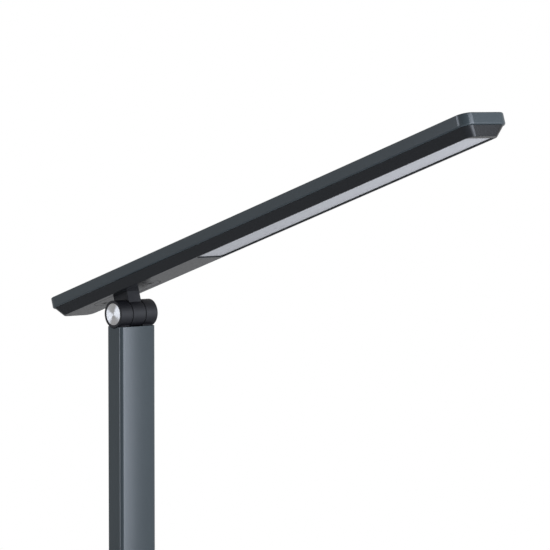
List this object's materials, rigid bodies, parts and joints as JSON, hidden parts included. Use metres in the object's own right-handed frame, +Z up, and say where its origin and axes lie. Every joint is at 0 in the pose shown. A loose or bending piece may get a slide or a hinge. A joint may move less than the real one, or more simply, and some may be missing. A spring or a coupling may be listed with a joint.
{
  "type": "bedside lamp",
  "caption": "Bedside lamp with a slim folding light bar on a flat stem, friction hinges at both ends of the stem, a weighted base, a push button and a power inlet.",
  "frame": {"origin": "middle of the foot pad's resting face", "axes": "+X the way the light bar points, Y along both hinge axes, +Z up"},
  "size_m": [0.3825, 0.11, 0.5193],
  "materials": {
    "anthracite": "anthracite satin anodised",
    "black_plastic": "black moulded, satin",
    "black_casting": "black satin paint on a casting",
    "opal_panel": "opal, finely textured",
    "brushed_cap": "turned and brushed in circles",
    "steel": "zinc plated",
    "black_screws": "black oxide",
    "ballast": "sheared steel plate, primed grey",
    "white_reflector": "white moulded",
    "spreader": "mill finish",
    "white_board": "white solder mask",
    "phosphor": "phosphor gel",
    "washer": "dark fibre",
    "rubber": "matt, finely ribbed",
    "green_board": "green solder mask",
    "switch": "black moulded",
    "button": "black satin",
    "contact_pin": "nickel plated",
    "lead": "black sheath"
  },
  "bodies": {
    "base": {"base_bracket": "black_casting", "bracket_screws": "steel", "lower_axle": "steel", "lower_axle_nut": "steel", "lower_disc_springs": "steel", "lower_friction_washers": "washer", "lower_cap_near": "brushed_cap", "lower_cap_far": "brushed_cap", "ballast_plate": "ballast", "base_housing": "black_plastic", "foot_pad": "rubber", "base_cover": "anthracite", "base_screws": "steel", "control_board": "green_board", "board_screws": "steel", "switch_body": "switch", "dc_jack": "black_plastic", "jack_pin": "contact_pin", "inlet_lead": "lead", "base_lead": "lead"},
    "stem": {"stem_top_bracket": "black_casting", "upper_axle": "steel", "upper_axle_nut": "steel", "upper_disc_springs": "steel", "upper_friction_washers": "washer", "upper_cap_near": "brushed_cap", "upper_cap_far": "brushed_cap", "stem_tube": "anthracite", "stem_screws": "black_screws", "stem_bottom_knuckle": "black_casting", "stem_lead": "lead"},
    "head": {"head_cover": "anthracite", "head_housing": "black_plastic", "diffuser_panel": "opal_panel", "reflector_frame": "white_reflector", "heat_spreader": "spreader", "led_board": "white_board", "led_chips": "phosphor", "head_knuckle": "black_casting", "hinge_backplate": "steel", "hinge_screws": "black_screws", "head_lead": "lead"},
    "button": {"power_button": "button", "switch_plunger": "switch"}
  },
  "joints": [
    {"name": "stem_tilt", "type": "hinge", "parent": "base", "child": "stem", "pos_m": [-0.058, 0, 0.0298], "axis": [0, 1, 0], "range_deg": [-15, 40]},
    {"name": "head_tilt", "type": "hinge", "parent": "stem", "child": "head", "pos_m": [-0.058, 0, 0.3896], "axis": [0, -1, 0], "range_deg": [-108, 60]},
    {"name": "power_button", "type": "slide", "parent": "base", "child": "button", "axis": [0, 0, -1], "range_m": [0, 0.0008], "stiffness_N_per_m": 2500}
  ]
}
